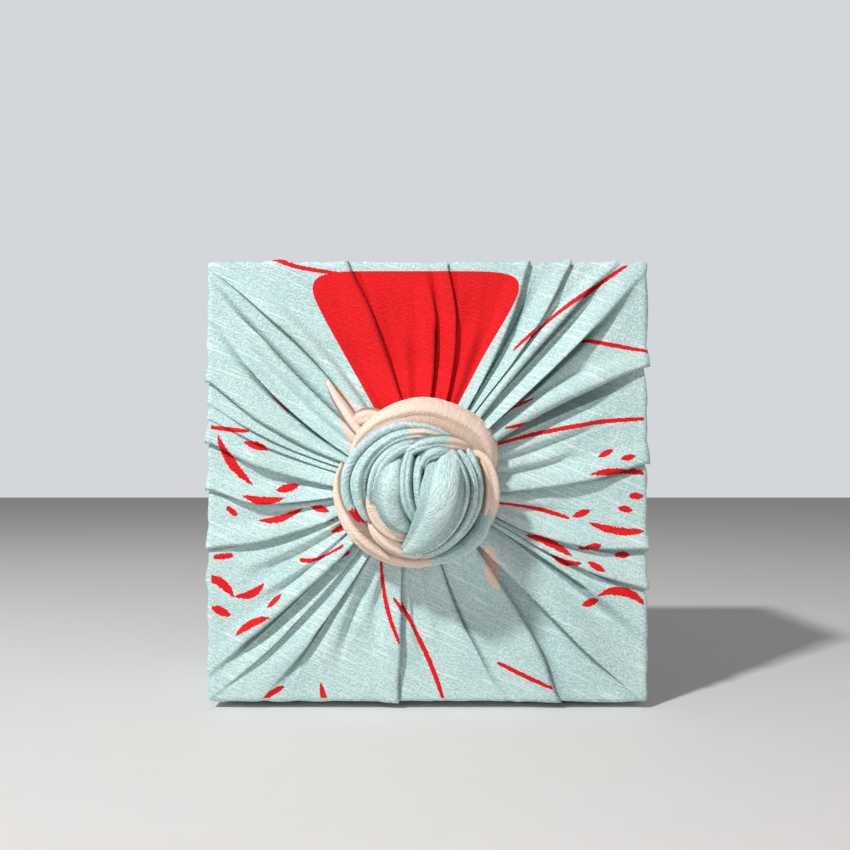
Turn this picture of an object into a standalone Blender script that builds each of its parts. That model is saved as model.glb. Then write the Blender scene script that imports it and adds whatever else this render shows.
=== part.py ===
"""A furoshiki: one square of printed cotton round a square flat gift box.

The box stands on its side with the knot to the front (-Y). The cloth comes up from the back over four sides,
is gathered in folds across the front, and its four tips are wound into a rose. The origin is the middle of the
flat patch that the wrap rests on. Sizes are in metres; the fold and rose tables are in millimetres and degrees.
"""

import math

import bmesh
import bpy
from mathutils import Vector

MM = 0.001

# the box and the cloth on it
BOX_SIDE = 0.196
BOX_DEPTH = 0.116
BOX_EDGE_ROUND = 0.0012
CLEARANCE = 0.0003
CLOTH_THICKNESS = 0.0017
EDGE_ROUND = 0.0015

HOLLOW_SIDE = BOX_SIDE + 2 * CLEARANCE
HOLLOW_DEPTH = BOX_DEPTH + 2 * CLEARANCE
FACE_HALF = HOLLOW_SIDE / 2 + CLOTH_THICKNESS
WRAP_DEPTH = HOLLOW_DEPTH + 2 * CLOTH_THICKNESS
SIDE_LENGTH = 2 * FACE_HALF

# the bunched cloth underneath, which holds the front edge off the surface
FOOT_DROP = 0.0035
FOOT_FRONT = 0.018
FOOT_BACK = 0.108
FOOT_END = 0.010
FACE_CENTRE_Z = FOOT_DROP + FACE_HALF
FRONT_Y = -(FOOT_FRONT + FOOT_BACK) / 2

# the knot, a little left of and below the middle of the front
KNOT_X = -0.005
KNOT_Z = FACE_CENTRE_Z - 0.002
NECK_RADIUS = 0.025
NECK_LIFT = 0.006

# rows of the cloth: shares of the back, depths down the sides, shares of the way from front edge to neck
BACK_SHARES = (0.45, 0.9)
WALL_DEPTHS = (0.0015, FOOT_FRONT, 0.045, 0.080, FOOT_BACK, WRAP_DEPTH - EDGE_ROUND)
FRONT_SHARES = (0.0, 0.12, 0.3, 0.5, 0.7, 0.86, 1.0)
# folds that reach the front edge run on to the back corner; this draws them there
CORNER_DRAW = 1.7

SIDES = ("top", "right", "bottom", "left")

# each fold that meets the knot, clockwise from the top left corner:
# side; mm along that side; clock angle at the neck; sideways bow in mm; height in mm; height at the front edge in mm
FOLDS = (
    ("top", 0, 324, 4, 2.5, 0.0),
    ("top", 35, 333, 2, 1.5, 2.5),
    ("top", 62, 346, 1, 2.5, 1.5),
    ("top", 98, 4, 3, 2.0, 0.5),
    ("top", 108, 14, 5, 2.5, 0.3),
    ("top", 146, 30, 3, 3.0, 1.5),
    ("top", 166, 36, 2, 2.0, 2.5),
    ("top", 190, 42, -2, 4.5, 1.5),
    ("right", 0, 47, 3, 5.0, 0.0),
    ("right", 46, 58, -3, 4.5, 3.0),
    ("right", 64, 67, 1, 1.5, 0.8),
    ("right", 88, 90, 1, 4.0, 2.5),
    ("right", 130, 106, 4, 3.0, 3.0),
    ("right", 148, 114, 2, 3.5, 2.5),
    ("right", 170, 122, -2, 2.0, 0.8),
    ("bottom", 0, 132, 1, 4.0, 0.0),
    ("bottom", 42, 146, -2, 3.0, 1.0),
    ("bottom", 66, 168, 3, 1.5, 0.3),
    ("bottom", 90, 188, 5, 1.5, 0.5),
    ("bottom", 115, 197, 2, 3.0, 1.5),
    ("bottom", 148, 210, 5, 2.5, 0.5),
    ("bottom", 175, 219, -2, 3.0, 0.8),
    ("left", 0, 227, -3, 2.0, 0.0),
    ("left", 14, 236, 1, 5.0, 1.0),
    ("left", 46, 247, -4, 2.0, 2.0),
    ("left", 71, 257, -2, 3.0, 2.5),
    ("left", 97, 268, -4, 3.5, 2.5),
    ("left", 121, 277, -2, 3.0, 3.0),
    ("left", 134, 286, -3, 2.5, 1.0),
    ("left", 148, 293, -3, 2.5, 2.5),
    ("left", 182, 301, -5, 2.5, 1.0),
)
# where a fold drops off on its clockwise side, and the trough beyond, as shares of the way to the next fold
FOLD_COLUMNS = (("crest", 0.0, 1.0), ("drop", 0.22, 0.15), ("trough", 0.55, 0.0))

# the spare cloth folded flat on the sides, from each back corner: reach along the side and height at mid depth
GUSSET_REACH = 0.28
GUSSET_HEIGHT = 0.0016

# the wound rose, from the neck out and round to its middle: radius and height off the front in mm, turn in degrees
ROSE = (
    (31, 8, 6),
    (36, 14, 16),
    (37, 22, 30),
    (35, 31, 46),
    (30, 38, 66),
    (23, 43, 90),
    (15, 45, 118),
    (7, 42, 150),
)
ROSE_MIDDLE_HEIGHT = 0.043
# the rose's main twists, as ridges: clock angle at the neck, half width in degrees, height in mm
TWISTS = (
    (20, 44, 3.4),
    (92, 30, 2.0),
    (150, 34, 3.0),
    (208, 26, 1.6),
    (256, 32, 3.2),
    (318, 34, 2.4),
)

# the two gaps between flaps beside the knot: mm across and up from the middle of the front, and slit width in mm
GAPS = (
    ("gap_top_left", (-49, 54), (-31, 36), 3.0),
    ("gap_bottom_right", (33, -33), (47, -48), 2.4),
)
GAP_REACH = 0.030

CLOTH_COLOUR = (0.50, 0.74, 0.74, 1.0)
BOARD_COLOUR = (0.62, 0.47, 0.31, 1.0)


def clear_scene():
    for found in list(bpy.data.objects):
        bpy.data.objects.remove(found, do_unlink=True)


def make_material(name, colour, roughness):
    material = bpy.data.materials.new(name)
    material.use_nodes = True
    shader = material.node_tree.nodes["Principled BSDF"]
    shader.inputs["Base Color"].default_value = colour
    shader.inputs["Roughness"].default_value = roughness
    shader.inputs["Metallic"].default_value = 0.0
    return material


def smooth_step(value):
    value = min(max(value, 0.0), 1.0)
    return value * value * (3 - 2 * value)


def square_point(place, half):
    """The point and outward direction at a place (0 to 4 sides, clockwise from the top left) on a square."""
    side = int(place // 1) % 4
    along = (2 * (place % 1) - 1) * half
    across_up = ((along, half), (half, -along), (-along, -half), (-half, along))[side]
    outward = ((0, 1), (1, 0), (0, -1), (-1, 0))[side]
    if place % 1 < 1e-6:
        before = ((-1, 0), (0, 1), (1, 0), (0, -1))[side]
        outward = (outward[0] + before[0], outward[1] + before[1])
    return across_up, outward


def twist_height(clock):
    """Height in mm of the rose's ridges on the line that leaves the neck at this clock angle."""
    height = 0.0
    for middle, half_width, ridge in TWISTS:
        away = abs((clock - middle + 180) % 360 - 180) / half_width
        height = max(height, ridge * (1 - smooth_step(away)))
    return height


def fold_columns():
    """Each column of the cloth: place in sides, angle at the neck, bow, and its heights on front, edge and rose."""
    columns = []
    for number, (side, along, clock, bow, height, edge_height) in enumerate(FOLDS):
        after = FOLDS[(number + 1) % len(FOLDS)]
        place = SIDES.index(side) + along * MM / SIDE_LENGTH
        next_place = SIDES.index(after[0]) + after[1] * MM / SIDE_LENGTH
        if next_place < place:
            next_place += 4
        turn = (after[2] - clock) % 360
        for _, share, part in FOLD_COLUMNS:
            columns.append(
                {
                    "place": (place + share * (next_place - place)) % 4,
                    "clock": math.radians(clock + share * turn),
                    "bow": (bow + share * (after[3] - bow)) * MM,
                    "height": height * part * MM,
                    "edge": edge_height * part * MM,
                    "twist": twist_height(clock + share * turn) * MM,
                }
            )
    return columns


def back_place(place):
    """Where a fold from this place on the front edge comes to on the back edge, drawn to the nearer corner."""
    side, along = divmod(place, 1)
    from_corner = min(along, 1 - along) * 2
    drawn = from_corner**CORNER_DRAW / 2
    return side + (drawn if along < 0.5 else 1 - drawn)


def world(across_up, depth):
    return Vector((across_up[0], FRONT_Y + depth, FACE_CENTRE_Z + across_up[1]))


def back_row(columns, share):
    return [world(square_point(back_place(c["place"]), FACE_HALF * share)[0], WRAP_DEPTH) for c in columns]


def foot_drop(place, depth):
    """How far the bunched cloth underneath reaches below the bottom side."""
    side, along = divmod(place, 1)
    in_length = FOOT_END < along * SIDE_LENGTH < SIDE_LENGTH - FOOT_END
    in_depth = FOOT_FRONT <= depth <= FOOT_BACK
    return FOOT_DROP if side == 2 and in_length and in_depth else 0.0


def gusset_height(place, share):
    """Height of the spare cloth folded flat beside a corner, most at half the depth."""
    from_corner = min(place % 1, 1 - place % 1)
    return GUSSET_HEIGHT * 4 * share * (1 - share) * (1 if from_corner < GUSSET_REACH else 0)


def wall_row(columns, depth):
    row = []
    share = depth / WRAP_DEPTH
    for column in columns:
        place = column["place"] + share * (back_place(column["place"]) - column["place"])
        (across, up), (out_across, out_up) = square_point(place, FACE_HALF)
        foot = foot_drop(place, depth)
        out = foot or column["edge"] * (1 - share) + gusset_height(column["place"], share)
        if int(place) == 2:
            out = min(out, FOOT_DROP)
        row.append(world((across + out * out_across, up + out * out_up), depth))
    return row


def neck_point(clock):
    across = KNOT_X + NECK_RADIUS * math.sin(clock)
    up = KNOT_Z - FACE_CENTRE_Z + NECK_RADIUS * math.cos(clock)
    return Vector((across, up))


def front_row(columns, share):
    row = []
    rise = NECK_LIFT * smooth_step((share - 0.6) / 0.4)
    for column in columns:
        start = Vector(square_point(column["place"], FACE_HALF - EDGE_ROUND)[0])
        line = neck_point(column["clock"]) - start
        sideways = Vector((-line.y, line.x)).normalized() * -column["bow"] * 4 * share * (1 - share)
        height = column["edge"] + (column["height"] - column["edge"]) * smooth_step(share * 2.5)
        row.append(world(start + line * share + sideways, -height - rise))
    return row


def rose_row(columns, radius, height, turn):
    row = []
    for column in columns:
        clock = column["clock"] - math.radians(turn)
        twist = column["twist"]
        reach = radius * MM + twist * smooth_step(radius * MM / NECK_RADIUS)
        across = KNOT_X + reach * math.sin(clock)
        up = KNOT_Z - FACE_CENTRE_Z + reach * math.cos(clock)
        row.append(world((across, up), -height * MM - twist))
    return row


def cloth_rows():
    columns = fold_columns()
    rows = [back_row(columns, share) for share in BACK_SHARES]
    rows.append(back_row(columns, 1 - EDGE_ROUND / FACE_HALF))
    rows += [wall_row(columns, depth) for depth in reversed(WALL_DEPTHS)]
    rows += [front_row(columns, share) for share in FRONT_SHARES]
    rows += [rose_row(columns, *step) for step in ROSE]
    return rows


def make_cloth_solid(material):
    """The outside of the cloth as rows joined face to face, closed by a point at the back and in the rose."""
    shape = bmesh.new()
    rows = [[shape.verts.new(point) for point in row] for row in cloth_rows()]
    count = len(rows[0])
    for inner, outer in zip(rows, rows[1:]):
        for here in range(count):
            after = (here + 1) % count
            shape.faces.new((inner[here], inner[after], outer[after], outer[here]))
    back_middle = shape.verts.new(world((0, 0), WRAP_DEPTH))
    rose_middle = shape.verts.new(world((KNOT_X, KNOT_Z - FACE_CENTRE_Z), -ROSE_MIDDLE_HEIGHT))
    for here in range(count):
        after = (here + 1) % count
        shape.faces.new((rows[0][after], rows[0][here], back_middle))
        shape.faces.new((rows[-1][here], rows[-1][after], rose_middle))
    bmesh.ops.recalc_face_normals(shape, faces=shape.faces)
    bmesh.ops.triangulate(shape, faces=shape.faces)
    mesh = bpy.data.meshes.new("furoshiki_cloth")
    shape.to_mesh(mesh)
    shape.free()
    mesh.materials.append(material)
    cloth = bpy.data.objects.new("furoshiki_cloth", mesh)
    bpy.context.collection.objects.link(cloth)
    return cloth


def make_block(name, size, centre):
    bpy.ops.mesh.primitive_cube_add(size=1, location=centre)
    block = bpy.context.object
    block.name = name
    block.data.name = name
    block.scale = size
    bpy.ops.object.transform_apply(location=False, rotation=False, scale=True)
    return block


def make_cutter(name, size, centre):
    cutter = make_block(name, size, centre)
    cutter.hide_render = True
    cutter.display_type = "WIRE"
    return cutter


def make_gap_cutter(name, start, end, width):
    """A slit through the cloth from the hollow to the open, along the seam between two flaps."""
    start, end = Vector(start) * MM, Vector(end) * MM
    middle = (start + end) / 2
    run = end - start
    cutter = make_cutter(name, (run.length, GAP_REACH, width * MM), world(middle, 0))
    cutter.rotation_euler = (0, -math.atan2(run.y, run.x), 0)
    return cutter


def cut(target, cutter):
    modifier = target.modifiers.new(cutter.name, "BOOLEAN")
    modifier.operation = "DIFFERENCE"
    modifier.solver = "EXACT"
    modifier.object = cutter


def make_cloth():
    cloth = make_cloth_solid(make_material("printed cotton", CLOTH_COLOUR, 0.85))
    middle = world((0, 0), WRAP_DEPTH / 2)
    cut(cloth, make_cutter("box_hollow", (HOLLOW_SIDE, HOLLOW_DEPTH, HOLLOW_SIDE), middle))
    for gap in GAPS:
        cut(cloth, make_gap_cutter(*gap))


def make_gift_box():
    box = make_block("gift_box", (BOX_SIDE, BOX_DEPTH, BOX_SIDE), world((0, 0), WRAP_DEPTH / 2))
    box.data.materials.append(make_material("gift board", BOARD_COLOUR, 0.7))
    edges = box.modifiers.new("soft edges", "BEVEL")
    edges.width = BOX_EDGE_ROUND
    edges.segments = 2


clear_scene()
make_cloth()
make_gift_box()
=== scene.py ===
import math

import bpy
from mathutils import Matrix, Vector, noise


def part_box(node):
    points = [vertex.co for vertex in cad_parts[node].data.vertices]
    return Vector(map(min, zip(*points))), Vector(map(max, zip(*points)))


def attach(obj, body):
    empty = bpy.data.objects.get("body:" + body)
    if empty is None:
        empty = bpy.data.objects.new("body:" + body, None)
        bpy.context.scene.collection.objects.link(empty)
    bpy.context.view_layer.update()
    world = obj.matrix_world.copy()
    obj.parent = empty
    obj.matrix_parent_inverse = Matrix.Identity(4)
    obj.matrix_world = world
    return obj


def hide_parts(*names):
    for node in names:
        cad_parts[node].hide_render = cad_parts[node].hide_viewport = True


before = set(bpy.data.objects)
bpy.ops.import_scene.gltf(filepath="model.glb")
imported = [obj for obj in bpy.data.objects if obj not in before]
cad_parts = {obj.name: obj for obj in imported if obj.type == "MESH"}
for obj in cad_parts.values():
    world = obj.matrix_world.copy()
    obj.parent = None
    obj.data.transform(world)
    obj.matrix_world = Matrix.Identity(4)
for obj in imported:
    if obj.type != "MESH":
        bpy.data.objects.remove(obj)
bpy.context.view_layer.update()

mm = 0.001
giftLow, giftHigh = (Vector(corner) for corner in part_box("gift_box"))
middle = (giftLow + giftHigh) / 2

# the cloth cut and how it lies round the box, in mm unless noted
cloth = {
    "cut": 700,
    "tipLeft": 175,          # what is left of each corner for the rose
    "offBox": 2.0,
    "thickness": 0.45,
    "edgeRound": 1.5,
    "footDrop": 3.5,         # bunched cloth underneath, below the bottom side
    "footFrom": 18,
    "footTo": 108,
    "cornerDraw": 1.7,       # draws folds on the sides to the back corners
    "knotAcross": -5,
    "knotUp": -2,
    "neck": 25,
    "neckRise": 8,
    "gather": 1.04,          # flat width against the width seen at the front edge
    "tuckFront": 18,         # how far a pleat's hidden layers run back under it
    "tuckSide": 38,
    "tuckDrop": (0.68, 1.34),    # its two hidden layers, below the outer one
    "puff": 1.3,             # how far a panel between two folds swells
    "sideHigh": 0.7,         # a pleat's height halfway back on a side
    "cornerClear": 6,        # no lap on a side this near its corners
    "sideRipple": 0.35,
    "standOff": 0.4,         # off the front, and how far that varies
    "frontSwell": 0.5,
    "strainBroad": 0.7,      # strains that run to the knot
    "strainFine": 0.3,
}
half = (giftHigh.x - giftLow.x) / 2 / mm + cloth["offBox"]
depth = (giftHigh.y - giftLow.y) / mm + 2 * cloth["offBox"]
side = 2 * half
frontY = giftLow.y - cloth["offBox"] * mm
knot = Vector((cloth["knotAcross"], cloth["knotUp"]))
sides = ("top", "right", "bottom", "left")


def smooth(value):
    value = min(max(value, 0.0), 1.0)
    return value * value * (3 - 2 * value)


def mix(a, b, share):
    return a + (b - a) * share


def inSpace(across, up, back):
    # mm across and up from the middle of the front, and back from it, to the frame
    return Vector((middle.x + across * mm, frontY + back * mm, middle.z + up * mm))


# Folds that meet the knot, by side, clockwise from the top left corner. along: mm down its side. clock: where
# it meets the neck. bow: sideways. high: on the front. edge: at the front edge. rise, fall: widths before and
# past its crest. lap: how far it lies over what is next to it. way: 1 laps clockwise, -1 back. begin: share
# of the way in. onSide: 1 where it is a pleat on the side of the box too.
foldColumns = ("along", "clock", "bow", "high", "edge", "rise", "fall", "lap", "way", "begin", "onSide")
foldRows = {
    "top": ((0, 325, 7, 4.2, 0.4, 12, 3, 4, -1, 0, 0), (32, 333, 2, 1.0, 1.7, 10, 8, 1, 1, 0, 0),
            (62, 345, 1, 2.6, 1.0, 10, 3, 4, 1, 0, 1), (84, 355, 1, 1.4, 0.2, 6, 5, 0, 1, 0.3, 0),
            (98, 4, 4, 2.6, 0.4, 7, 4, 2, 1, 0.02, 0), (108, 14, 5, 2.8, 0.5, 6, 3, 3, 1, 0, 1),
            (128, 23, 3, 1.4, 0.2, 7, 6, 0, 1, 0.25, 0), (146, 30, 3, 3.2, 0.8, 9, 7, 2, 1, 0, 1),
            (164, 35, 2, 4.0, 1.4, 6, 4, 4, 1, 0, 0), (184, 40, -2, 4.2, 1.0, 6, 5, 3, 1, 0, 0)),
    "right": ((0, 46, 3, 6.0, 0.6, 8, 6, 3, 1, 0, 0), (46, 58, -4, 5.0, 1.8, 8, 9, 3, 1, 0, 1),
              (62, 67, 1, 1.8, 0.6, 8, 6, 1, 1, 0.15, 0), (76, 78, 1, 2.0, 0.3, 8, 5, 1, 1, 0.35, 0),
              (90, 89, 2, 4.2, 1.8, 12, 4, 4, 1, 0, 1), (112, 97, 1, 1.8, 0.3, 8, 5, 1, 1, 0.4, 0),
              (130, 103, 5, 3.4, 1.9, 8, 4, 3, 1, 0, 1), (148, 107, 3, 3.4, 1.5, 7, 4, 3, 1, 0, 0),
              (168, 111, -2, 2.2, 0.5, 8, 5, 2, 1, 0.15, 0)),
    "bottom": ((0, 118, 0, 5.6, 0.5, 12, 3, 6, 1, 0, 0), (42, 146, -2, 4.8, 1.0, 13, 3, 6, -1, 0, 1),
               (66, 166, 4, 1.4, 0.3, 9, 3, 2, -1, 0.02, 0), (84, 180, 5, 1.2, 0.3, 8, 5, 1, -1, 0.3, 0),
               (100, 190, 4, 1.4, 0.3, 8, 4, 1, -1, 0.2, 0), (115, 198, 2, 3.4, 1.2, 9, 3, 4, -1, 0, 1),
               (134, 205, 4, 1.6, 0.2, 7, 5, 1, -1, 0.3, 0), (150, 212, 5, 2.6, 0.4, 10, 7, 1, -1, 0.1, 0),
               (180, 220, -3, 3.6, 0.4, 10, 6, 3, -1, 0, 0)),
    "left": ((2, 229, -4, 2.6, 0.3, 8, 3, 2, -1, 0, 0), (16, 236, -1, 5.0, 0.8, 10, 8, 4, -1, 0, 0),
             (40, 245, -5, 2.0, 0.7, 10, 8, 1, -1, 0.2, 0), (56, 251, -3, 2.2, 1.3, 8, 7, 1, -1, 0.1, 0),
             (71, 257, -2, 3.6, 1.4, 9, 3, 4, -1, 0, 1), (85, 262, -1, 2.0, 0.4, 6, 4, 1, -1, 0.35, 0),
             (98, 268, -5, 3.8, 1.7, 8, 3, 4, -1, 0, 1), (120, 276, -2, 4.0, 2.0, 10, 3, 5, -1, 0, 0),
             (130, 282, -2, 2.4, 0.8, 4, 2.5, 2, -1, 0, 0), (137, 286, -3, 2.6, 0.7, 4, 2.5, 2, -1, 0, 0),
             (147, 291, -3, 3.0, 1.6, 7, 3, 3, -1, 0, 1), (178, 296, -6, 2.8, 0.6, 9, 5, 2, -1, 0.1, 0),
             (191, 305, -3, 3.4, 0.4, 9, 3, 3, 1, 0.08, 0)),
}
folds = [dict(zip(foldColumns, row), side=name) for name in sides for row in foldRows[name]]

# how finely the sheet is laid out
layout = {
    "onSoft": (-1, -0.72, -0.45, -0.2, 0, 0.22, 0.55, 1),        # stations across a fold, rise to fall
    "onPleat": (-1, -0.72, -0.45, -0.2, 0, 0.1, 0.22, 0.5, 0.58, 0.82, 0.92, 1),
    "turned": 0.5,                                               # where a pleat's hidden layer turns back
    "between": 3,                                                # stations on the panel between two folds
    "backRows": (0.12, 0.4, 0.7, 0.93),
    "wallRows": 15,
    "frontRows": 60,
}


def isPleat(fold):
    return fold["lap"] >= 2 or fold["onSide"]


def stationsOf(fold):
    stations = layout["onPleat"] if isPleat(fold) else layout["onSoft"]
    return stations if fold["way"] > 0 else tuple(-station for station in reversed(stations))


def placeOf(fold):
    return sides.index(fold["side"]) + fold["along"] / side


def onFlap(which, across, reach):
    # clockwise across a flap and outwards, as across and up
    return ((across, reach), (reach, -across), (-across, -reach), (-reach, across))[which]


clockwise = [Vector(onFlap(which, 1, 0)) for which in range(4)]
outward = [Vector(onFlap(which, 0, 1)) for which in range(4)]


def squarePoint(place, reach, corner=1.5):
    # a point on a square of this half width, clockwise from the top left, its corners a little rounded
    point = Vector(onFlap(int(place // 1) % 4, (2 * (place % 1) - 1) * reach, reach))
    inner = max(reach - corner, 0.0)
    over = Vector((abs(point.x) - inner, abs(point.y) - inner))
    if over.x > 0 and over.y > 0 and over.length > 1e-6:
        over = over.normalized() * corner
        point = Vector((math.copysign(inner + over.x, point.x), math.copysign(inner + over.y, point.y)))
    return point


def outwardAt(place):
    # across and up, away from the box; turns over a few mm at a corner
    which, along = int(place // 1) % 4, (place % 1) * side
    turn = 2.0
    for near, beside in ((along, which - 1), (side - along, (which + 1) % 4)):
        if near < turn:
            return outward[beside].lerp(outward[which], 0.5 + 0.5 * near / turn).normalized()
    return outward[which]


def backPlace(place):
    which, along = divmod(place, 1)
    near = min(along, 1 - along) * 2
    drawn = near ** cloth["cornerDraw"] / 2
    return which + (drawn if along < 0.5 else 1 - drawn)


# place against clock angle and bow, unrolled so that both run on past the last fold
places = [placeOf(fold) for fold in folds]
clocks = [fold["clock"] - (360 if fold["clock"] > 320 and fold["side"] == "top" else 0) for fold in folds]
bows = [fold["bow"] for fold in folds]
foldCount = len(folds)
placesAfter = places[1:] + [places[0] + 4]


def alongFolds(place, values, lap):
    # reads a value between the two folds beside this place
    turns, here = divmod(place, 4)
    ends = values[1:] + [values[0] + lap]
    for low, high, first, last in zip(places, placesAfter, values, ends):
        if low <= here <= high:
            return mix(first, last, (here - low) / (high - low)) + turns * lap
    return values[0]


def clockAt(place):
    return math.radians(alongFolds(place, clocks, 360))


def onFront(place, share):
    # where a line from this place on the front edge to the neck has come to
    start = squarePoint(place % 4, half - cloth["edgeRound"])
    clock = clockAt(place)
    end = knot + cloth["neck"] * Vector((math.sin(clock), math.cos(clock)))
    line = end - start
    across = Vector((line.y, -line.x)).normalized()
    return start + line * share - across * alongFolds(place, bows, 0) * 4 * share * (1 - share), line.length


def foldHeight(fold, share):
    # mm off the front at this share of the way from edge to neck
    started = smooth((share - fold["begin"]) / 0.22) if fold["begin"] else 1.0
    height = mix(fold["edge"], fold["high"], smooth(share * 2.6))
    return height * started * (1 + 0.35 * share)


def foldShape(along, height, lap, tuck):
    # mm off the cloth's base and mm sideways at a station, from -1 on the rising side to 1 past the crest
    away = abs(along)
    rounded = (1 - away * away) ** 2
    lapped = min(lap / 2.5, 1) * min(height / 1.2, 1)
    if along <= 0:
        return height * mix(rounded, (1 - away ** 2.4) ** 1.3, lapped), lap * smooth(1 - away)
    opened = 1 - smooth(tuck / 5)
    softOff, softMoved = height * rounded, lap * smooth(1 - along)
    upper, lower = cloth["tuckDrop"]
    turned = layout["turned"]
    if along <= turned:
        off, moved = mix(height, -upper, smooth(along / 0.2)), mix(lap, -tuck, smooth(along / turned))
    else:
        dropped = mix(-upper, -lower, smooth((along - turned) / 0.1))
        off = mix(dropped, 0.0, smooth((along - 0.82) / 0.18))
        moved = mix(-tuck, 0.0, smooth((along - turned) / (1 - turned)))
    return mix(off, softOff, opened), mix(moved, softMoved, opened)


def stationsAt(share, onWall=False):
    # every column's place and height in one row: share runs edge to neck, or front to back on a side
    gaps = []
    for here, after in zip(places, placesAfter):
        gap = (after - here) * side if onWall else (onFront(after, share)[0] - onFront(here, share)[0]).length
        gaps.append(max(gap, 0.2))
    shapes = []
    for number, fold in enumerate(folds):
        back, ahead = gaps[number - 1], gaps[number]
        previous, following = folds[number - 1], folds[(number + 1) % foldCount]
        way = fold["way"]
        before, past = (fold["rise"], fold["fall"]) if way > 0 else (fold["fall"], fold["rise"])
        before *= min(1, 0.9 * back / (before + previous["fall" if previous["way"] > 0 else "rise"]))
        past *= min(1, 0.9 * ahead / (past + following["rise" if following["way"] > 0 else "fall"]))
        if onWall:
            height = fold["edge"] * (1 - share) ** 1.4
            height += cloth["sideHigh"] * math.sin(math.pi * share) * fold["onSide"]
            lap = fold["lap"] * 0.5 * (1 - share) ** 2
            tuck = mix(cloth["tuckFront"], cloth["tuckSide"], smooth(share * 4)) * smooth((1 - share) * 6)
            tuck *= max(fold["onSide"], smooth((fold["edge"] - 1) / 1.5) * (1 - share) ** 2)
        else:
            height = foldHeight(fold, share)
            started = smooth((share - fold["begin"]) / 0.3) if fold["begin"] else 1
            lap = fold["lap"] * started * (0.5 + 0.5 * smooth(share * 3))
            lap = min(lap, 0.62 * (ahead if way > 0 else back))
            opened = smooth((share + 0.5 * (fold["edge"] - 1)) / 0.4)
            tuck = cloth["tuckFront"] * max(fold["onSide"], opened) * started
        if onWall and min(fold["along"], side - fold["along"]) < cloth["cornerClear"]:
            lap = 0
        behind, other = (back, previous) if way > 0 else (ahead, following)
        tuck = min(tuck, (0.8 if other["way"] == way else 0.42) * behind) if isPleat(fold) else 0
        shapes.append((before, past, height, lap, tuck))
    row = []
    for number, fold in enumerate(folds):
        before, past, height, lap, tuck = shapes[number]
        here = places[number]
        previous = places[number - 1] - (4 if number == 0 else 0)
        after = placesAfter[number]
        backScale, aheadScale = (here - previous) / gaps[number - 1], (after - here) / gaps[number]
        way = fold["way"]
        for station in stationsOf(fold):
            off, moved = foldShape(station * way, height, lap, tuck)
            moved *= way
            place = here + station * (before * backScale if station < 0 else past * aheadScale)
            row.append((place + moved * (backScale if moved < 0 else aheadScale), off))
        first = here + past * aheadScale
        last = after - shapes[(number + 1) % foldCount][0] * aheadScale
        swell = cloth["puff"] * smooth((last - first) / aheadScale / 16)
        swell *= (1 - share) * 0.6 if onWall else smooth(share * 4)
        for step in range(layout["between"]):
            part = (step + 1) / (layout["between"] + 1)
            row.append((mix(first, last, part), swell * math.sin(math.pi * part)))
    return row


def footDrop(place, back):
    # bunched cloth under the bottom side, flat where it rests
    which, along = divmod(place % 4, 1)
    if which != 2:
        return 0.0
    length = smooth(min(along, 1 - along) * side / 8)
    reach = smooth((back - cloth["footFrom"] + 5) / 5) * smooth((cloth["footTo"] + 5 - back) / 5)
    return cloth["footDrop"] * length * reach


def clothRow(kind, share, points, stations, lengths=None):
    places = [place for place, height in stations]
    return {"kind": kind, "share": share, "points": points, "lengths": lengths, "places": places}


def wrapRows():
    rows = []
    wallCount, frontCount = layout["wallRows"], layout["frontRows"]
    backStations = stationsAt(1.0, onWall=True)
    for reach in layout["backRows"]:
        points = [inSpace(*squarePoint(backPlace(place % 4), half * reach, 1.5 * reach), depth)
                  for place, height in backStations]
        rows.append(clothRow("back", reach, points, backStations))
    for number in range(wallCount):
        share = 1 - number / (wallCount - 1)
        back = mix(cloth["edgeRound"], depth - cloth["edgeRound"], share)
        stations = stationsAt(share, onWall=True)
        points = []
        for place, height in stations:
            spot = mix(place, math.floor(place / 4) * 4 + backPlace(place % 4), share)
            out = outwardAt(spot % 4)
            ripple = cloth["sideRipple"] * noise.noise(Vector((spot * 9, share * 4, 3.1)))
            drop = footDrop(spot, back)
            off = height + max(ripple, -0.2) * (0 if drop else 1)
            if math.floor(spot) % 4 == 2:
                off = max(min(off, cloth["footDrop"] - 0.1), 0) if not drop else max(drop, min(off, drop))
            points.append(inSpace(*(squarePoint(spot % 4, half) + out * off), back))
        rows.append(clothRow("wall", share, points, stations))
    edgeStations = stationsAt(0.0)
    points = []
    for place, height in edgeStations:
        out = outwardAt(place % 4)
        flat = squarePoint(place % 4, half - cloth["edgeRound"] * 0.3) + out * height * 0.75
        points.append(inSpace(*flat, cloth["edgeRound"] * 0.3 - height * 0.75))
    rows.append(clothRow("wall", 0.0, points, edgeStations))
    for number in range(frontCount):
        share = (number / (frontCount - 1)) ** 0.95
        rise = cloth["neckRise"] * smooth((share - 0.55) / 0.45)
        points, lengths, stations = [], [], stationsAt(share)
        for place, height in stations:
            flat, length = onFront(place, share)
            swell = cloth["frontSwell"] * noise.noise(Vector((flat.x * 0.03, flat.y * 0.03, 7.7)))
            strain = cloth["strainBroad"] * share * noise.noise(Vector((place * 26, share * 2.2, 1.3)))
            strain += cloth["strainFine"] * noise.noise(Vector((place * 60, share * 3.5, 5.3)))
            off = (cloth["standOff"] + swell + strain) * smooth(share * 6)
            points.append(inSpace(*flat, -height - rise - off))
            lengths.append(length * share)
        rows.append(clothRow("front", share, points, stations, lengths))
    return rows


def paintedShadeColumns():
    # painted shade for each column, 0 to 1: how much of it lies in under a fold's crest, darkened as if the
    # crest shaded it
    paintedShade = []
    for fold in folds:
        for station in stationsOf(fold):
            past = smooth((station * fold["way"] - 0.08) / 0.3)
            paintedShade.append(past * min(max(fold["lap"], 2) / 3, 1) if isPleat(fold) else 0.0)
        paintedShade += [0.0] * layout["between"]
    return paintedShade


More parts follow.
